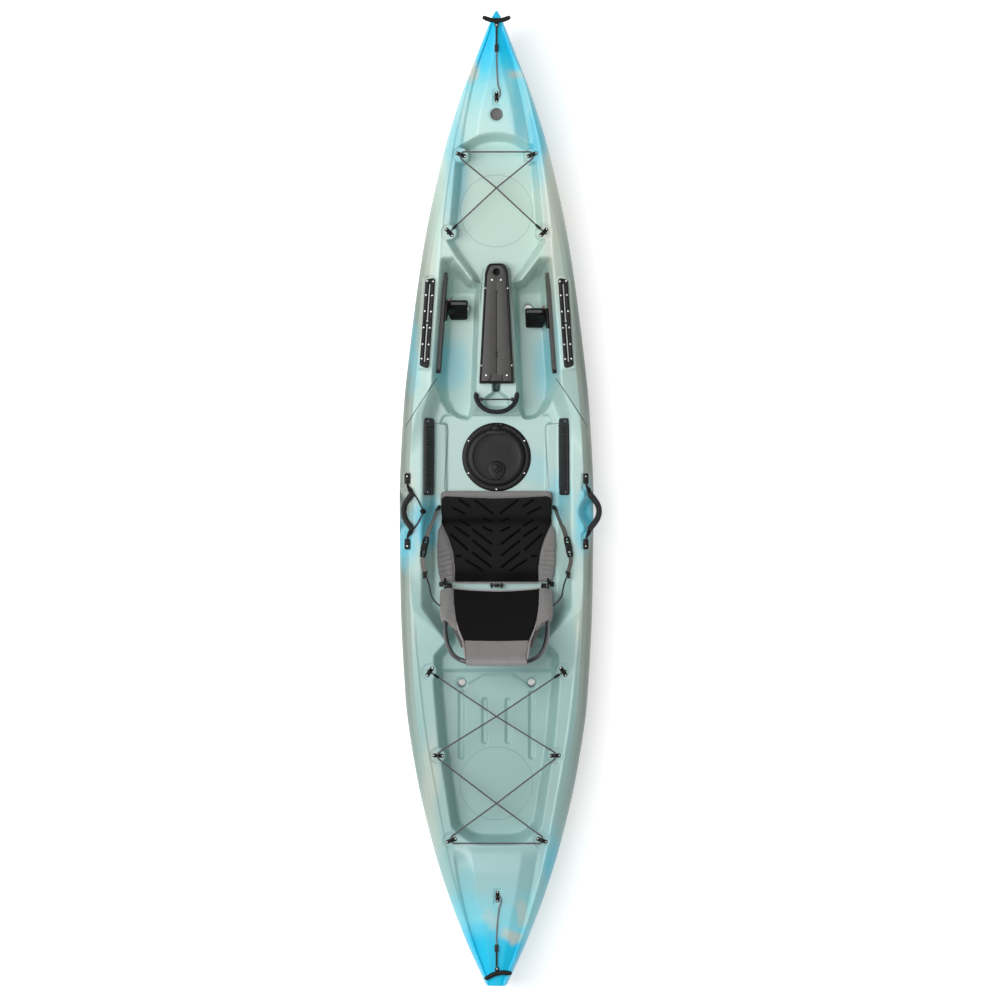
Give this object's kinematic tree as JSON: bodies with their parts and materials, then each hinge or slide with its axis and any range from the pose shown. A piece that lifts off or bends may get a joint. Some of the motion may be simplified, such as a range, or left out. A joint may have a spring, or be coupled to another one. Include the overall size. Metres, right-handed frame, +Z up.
{
  "type": "fishing kayak",
  "caption": "Sit-on-top fishing kayak: moulded hull with open wells, round hatch, folding framed seat, foot braces, accessory rails, carry handles and laced shock cords.",
  "frame": {"origin": "on the flat of the keel, on the centre line, midway along the flat bottom", "axes": "+Y points to the bow, +X to starboard and +Z up from the keel"},
  "size_m": [0.826, 3.949, 0.5807],
  "materials": {
    "polyethylene": "rotomoulded, pale aqua blending to cyan at the ends, satin gloss",
    "black_nylon": "moulded, satin",
    "black_rubber": "moulded, matte",
    "grey_abs": "fine leather grain",
    "red_nylon": "moulded, glossy",
    "steel": "stainless, satin",
    "grey_fabric": "woven polyester",
    "black_mesh": "spacer mesh",
    "grey_webbing": "woven webbing",
    "shock_cord": "braided sheath",
    "grey_cord": "braided sheath",
    "rope": "braided"
  },
  "bodies": {
    "hull_body": {"bow_bungee": "grey_cord", "bow_pad_eye": "black_nylon", "bow_well_bungee": "shock_cord", "carry_mount_left_front": "black_nylon", "carry_mount_left_rear": "black_nylon", "carry_mount_right_front": "black_nylon", "carry_mount_right_rear": "black_nylon", "centre_rod": "steel", "console_base": "black_nylon", "console_cover": "grey_abs", "deck_badge": "black_nylon", "foot_track_left": "black_nylon", "foot_track_right": "black_nylon", "hatch_hinge_pin": "steel", "hatch_ring": "black_nylon", "hatch_seal": "black_rubber", "hook_bow_rear_left": "black_nylon", "hook_bow_rear_right": "black_nylon", "hook_tank_front_left": "black_nylon", "hook_tank_front_right": "black_nylon", "hull": "polyethylene", "pad_eye_bow_front_left": "black_nylon", "pad_eye_bow_front_right": "black_nylon", "pad_eye_bow_rear_left": "black_nylon", "pad_eye_bow_rear_right": "black_nylon", "pad_eye_tank_front_left": "black_nylon", "pad_eye_tank_front_right": "black_nylon", "pad_eye_tank_middle_left": "black_nylon", "pad_eye_tank_middle_right": "black_nylon", "pad_eye_tank_rear_left": "black_nylon", "pad_eye_tank_rear_right": "black_nylon", "paddle_keeper": "black_rubber", "rail_left": "black_nylon", "rail_right": "black_nylon", "seat_pad": "black_mesh", "seat_pan": "grey_fabric", "seat_strap_left": "grey_webbing", "seat_strap_right": "grey_webbing", "side_pad_left": "black_rubber", "side_pad_right": "black_rubber", "stern_bungee": "grey_cord", "stern_pad_eye": "black_nylon", "tank_well_bungee": "shock_cord"},
    "hatch_lid": {"hatch_lid": "black_nylon"},
    "hatch_latch": {"hatch_latch": "black_nylon"},
    "foot_pedal_left": {"foot_pedal_left": "black_nylon"},
    "foot_pedal_right": {"foot_pedal_right": "black_nylon"},
    "foot_lever_left": {"foot_lever_left": "red_nylon"},
    "foot_lever_right": {"foot_lever_right": "red_nylon"},
    "seat_back": {"seat_back_frame": "black_nylon", "seat_back_panel": "black_mesh"},
    "carry_handle_left": {"carry_strap_left": "grey_webbing", "carry_grip_left": "black_rubber"},
    "carry_handle_right": {"carry_strap_right": "grey_webbing", "carry_grip_right": "black_rubber"},
    "centre_handle": {"centre_grip": "black_nylon"},
    "bow_toggle": {"bow_toggle": "black_nylon", "bow_rope": "rope"},
    "stern_toggle": {"stern_toggle": "black_nylon", "stern_rope": "rope"}
  },
  "joints": [
    {"name": "hatch_lid_hinge", "type": "hinge", "parent": "hull_body", "child": "hatch_lid", "pos_m": [0, 0.305, 0.1628], "axis": [-1, 0, 0], "range_deg": [0, 95]},
    {"name": "hatch_latch_turn", "type": "hinge", "parent": "hatch_lid", "child": "hatch_latch", "pos_m": [0, 0.127, 0.1668], "axis": [0, 0, 1], "range_deg": [0, 90]},
    {"name": "foot_slide_right", "type": "slide", "parent": "hull_body", "child": "foot_pedal_right", "axis": [-0.0705, 0.9975, 0], "range_m": [-0.17, 0.09]},
    {"name": "foot_slide_left", "type": "slide", "parent": "hull_body", "child": "foot_pedal_left", "axis": [0.0705, 0.9975, 0], "range_m": [-0.2, 0.055]},
    {"name": "foot_lever_right_press", "type": "hinge", "parent": "foot_pedal_right", "child": "foot_lever_right", "pos_m": [0.19703, 0.76788, 0.20665], "axis": [0.1628, 0.0115, 0.9866], "range_deg": [0, 18], "stiffness_Nm_per_rad": 0.05},
    {"name": "foot_lever_left_press", "type": "hinge", "parent": "foot_pedal_left", "child": "foot_lever_left", "pos_m": [-0.19476, 0.79988, 0.20665], "axis": [0.1628, -0.0115, -0.9866], "range_deg": [0, 18], "stiffness_Nm_per_rad": 0.05},
    {"name": "seat_back_fold", "type": "hinge", "parent": "hull_body", "child": "seat_back", "pos_m": [0, -0.352, 0.215], "axis": [1, 0, 0], "range_deg": [-120, 0], "deforming": ["seat_strap_right", "seat_strap_left"]},
    {"name": "carry_handle_right_swing", "type": "hinge", "parent": "hull_body", "child": "carry_handle_right", "pos_m": [0.3635, 0, 0.2668], "axis": [0, -1, 0], "range_deg": [0, 85]},
    {"name": "carry_handle_left_swing", "type": "hinge", "parent": "hull_body", "child": "carry_handle_left", "pos_m": [-0.3635, 0, 0.2668], "axis": [0, -1, 0], "range_deg": [0, 60]},
    {"name": "centre_handle_lift", "type": "hinge", "parent": "hull_body", "child": "centre_handle", "pos_m": [0, 0.41, 0.2475], "axis": [-1, 0, 0], "range_deg": [0, 28]},
    {"name": "bow_toggle_lift", "type": "hinge", "parent": "hull_body", "child": "bow_toggle", "pos_m": [0, 1.8424, 0.38953], "axis": [1, 0, 0], "range_deg": [0, 110]},
    {"name": "stern_toggle_lift", "type": "hinge", "parent": "hull_body", "child": "stern_toggle", "pos_m": [0, -1.8334, 0.3396], "axis": [-1, 0, 0], "range_deg": [0, 110]}
  ]
}
